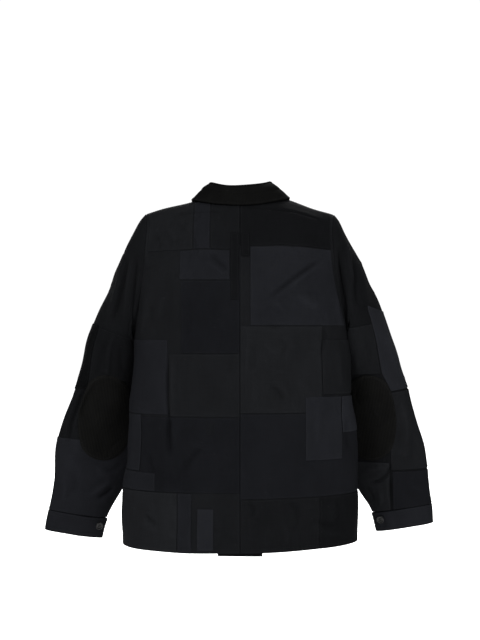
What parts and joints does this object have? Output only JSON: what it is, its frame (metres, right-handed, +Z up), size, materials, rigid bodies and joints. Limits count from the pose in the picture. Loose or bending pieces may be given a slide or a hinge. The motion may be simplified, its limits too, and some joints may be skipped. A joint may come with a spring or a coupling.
{
  "type": "patchwork shirt jacket",
  "caption": "Patchwork shirt jacket, filled out as worn and empty inside, with a napped collar, oval elbow patches and button cuffs.",
  "frame": {"origin": "midway between the points where the two shoulder seams meet the neck, where the wearer's neck and shoulders hold the jacket up", "axes": "+Z up, -Y the way the jacket's front faces, +X towards the wearer's left"},
  "size_m": [0.8164, 0.2624, 0.7457],
  "materials": {
    "shell": "matt woven cotton, blue black",
    "patch_pale": "dry plain weave, lightest blue black",
    "patch_mid": "matt woven cotton, blue black",
    "patch_dark": "matt woven cotton, darkest blue black",
    "cord_trim": "fine-ribbed napped cotton, deep black",
    "button": "polished black"
  },
  "bodies": {
    "root": {"back_left": "shell", "back_right": "shell", "front_left": "shell", "front_right": "shell", "patch_shoulder_left": "patch_mid", "patch_tall_left": "patch_pale", "patch_wide_left": "patch_pale", "patch_neck_left": "patch_mid", "patch_strip_left": "patch_dark", "patch_middle_left": "patch_dark", "patch_flank_left": "patch_pale", "patch_square_left": "patch_mid", "patch_dark_left": "patch_dark", "patch_side_left": "patch_pale", "patch_corner_left": "patch_pale", "patch_hem_left": "patch_pale", "patch_hem_slim_left": "patch_pale", "patch_hem_small_left": "patch_pale", "patch_yoke_right": "patch_dark", "patch_strip_right": "patch_dark", "patch_big_right": "patch_pale", "patch_middle_right": "patch_pale", "patch_flank_right": "patch_mid", "patch_wide_right": "patch_mid", "patch_pale_right": "patch_pale", "patch_pale_side_right": "patch_pale", "patch_hem_right": "patch_dark", "patch_hem_side_right": "patch_dark", "patch_chest_left": "patch_pale", "patch_waist_left": "patch_mid", "patch_front_hem_left": "patch_dark", "patch_chest_right": "patch_dark", "patch_waist_right": "patch_mid", "patch_front_hem_right": "patch_pale", "collar_stand": "cord_trim", "collar_leaf": "cord_trim", "hem_strip": "cord_trim", "front_button_1": "button", "front_button_2": "button", "front_button_3": "button", "front_button_4": "button", "front_button_5": "button", "sleeve_left": "shell", "patch_strip_sleeve_left": "patch_dark", "patch_upper_sleeve_left": "patch_dark", "patch_forearm_left": "patch_pale", "elbow_patch_left": "cord_trim", "cuff_left": "shell", "cuff_button_left": "button", "sleeve_right": "shell", "patch_strip_sleeve_right": "patch_pale", "patch_upper_sleeve_right": "patch_mid", "patch_elbow_side_right": "patch_mid", "patch_wrist_outer_right": "patch_mid", "patch_wrist_inner_right": "patch_dark", "elbow_patch_right": "cord_trim", "cuff_right": "shell", "cuff_button_right": "button"}
  },
  "joints": []
}
